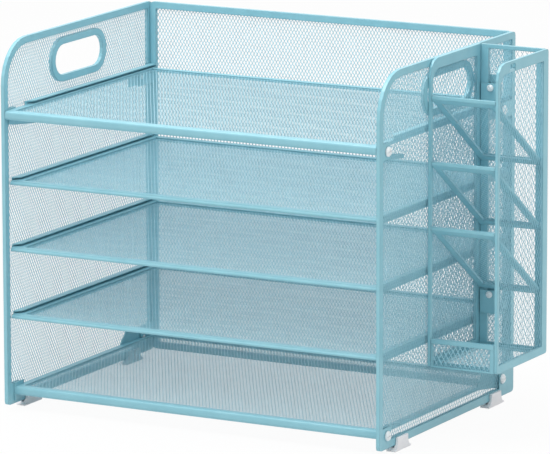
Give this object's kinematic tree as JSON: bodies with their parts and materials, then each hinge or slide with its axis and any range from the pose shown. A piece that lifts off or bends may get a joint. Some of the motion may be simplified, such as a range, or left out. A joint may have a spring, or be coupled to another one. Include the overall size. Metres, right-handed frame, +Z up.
{
  "type": "desk drawer organizer",
  "caption": "Mesh letter-tray organizer with stacked trays, some sliding forward, carry slots in its side panels and a pen caddy with sloping dividers.",
  "frame": {"origin": "on the desk surface, under the middle of the overall box", "axes": "+Z up, +X to the right seen from the open front, where the caddy is; -Y out of the open front"},
  "size_m": [0.4014, 0.236, 0.2998],
  "materials": {
    "powder_coat": "semi-gloss powder coat",
    "expanded_mesh": "semi-gloss powder coat on expanded metal",
    "foot_plastic": "satin",
    "screw_steel": "white, glossy"
  },
  "bodies": {
    "organizer": {"back_mesh": "expanded_mesh", "back_rim": "powder_coat", "bottom_tray_frame": "powder_coat", "bottom_tray_mesh": "expanded_mesh", "caddy_back_wall_frame": "powder_coat", "caddy_back_wall_mesh": "expanded_mesh", "caddy_base_frame": "powder_coat", "caddy_floor_mesh": "expanded_mesh", "caddy_high_bracket": "powder_coat", "caddy_high_clamp_plate": "powder_coat", "caddy_high_divider_frame": "powder_coat", "caddy_high_divider_mesh": "expanded_mesh", "caddy_high_screw": "screw_steel", "caddy_inner_wall_frame": "powder_coat", "caddy_inner_wall_mesh": "expanded_mesh", "caddy_lip_mesh": "expanded_mesh", "caddy_low_bracket": "powder_coat", "caddy_low_clamp_plate": "powder_coat", "caddy_low_divider_frame": "powder_coat", "caddy_low_divider_mesh": "expanded_mesh", "caddy_low_screw": "screw_steel", "caddy_mid_divider_frame": "powder_coat", "caddy_mid_divider_mesh": "expanded_mesh", "caddy_outer_wall_frame": "powder_coat", "caddy_outer_wall_mesh": "expanded_mesh", "left_bottom_front_screw": "screw_steel", "left_bottom_rear_screw": "screw_steel", "left_front_foot": "foot_plastic", "left_handle_ring": "powder_coat", "left_rear_foot": "foot_plastic", "left_side_mesh": "expanded_mesh", "left_side_rim": "powder_coat", "left_top_front_screw": "screw_steel", "left_top_rear_screw": "screw_steel", "lower_left_guide_rail": "powder_coat", "lower_right_guide_rail": "powder_coat", "middle_left_guide_rail": "powder_coat", "middle_right_guide_rail": "powder_coat", "right_bottom_front_screw": "screw_steel", "right_bottom_rear_screw": "screw_steel", "right_front_foot": "foot_plastic", "right_handle_ring": "powder_coat", "right_rear_foot": "foot_plastic", "right_side_mesh": "expanded_mesh", "right_side_rim": "powder_coat", "right_top_front_screw": "screw_steel", "right_top_rear_screw": "screw_steel", "top_tray_frame": "powder_coat", "top_tray_mesh": "expanded_mesh", "upper_left_guide_rail": "powder_coat", "upper_right_guide_rail": "powder_coat"},
    "upper_tray": {"upper_tray_frame": "powder_coat", "upper_tray_mesh": "expanded_mesh"},
    "middle_tray": {"middle_tray_frame": "powder_coat", "middle_tray_mesh": "expanded_mesh"},
    "lower_tray": {"lower_tray_frame": "powder_coat", "lower_tray_mesh": "expanded_mesh"}
  },
  "joints": [
    {"name": "upper_tray_slide", "type": "slide", "parent": "organizer", "child": "upper_tray", "axis": [0, -1, 0], "range_m": [0, 0.15]},
    {"name": "middle_tray_slide", "type": "slide", "parent": "organizer", "child": "middle_tray", "axis": [0, -1, 0], "range_m": [0, 0.15]},
    {"name": "lower_tray_slide", "type": "slide", "parent": "organizer", "child": "lower_tray", "axis": [0, -1, 0], "range_m": [0, 0.15]}
  ]
}
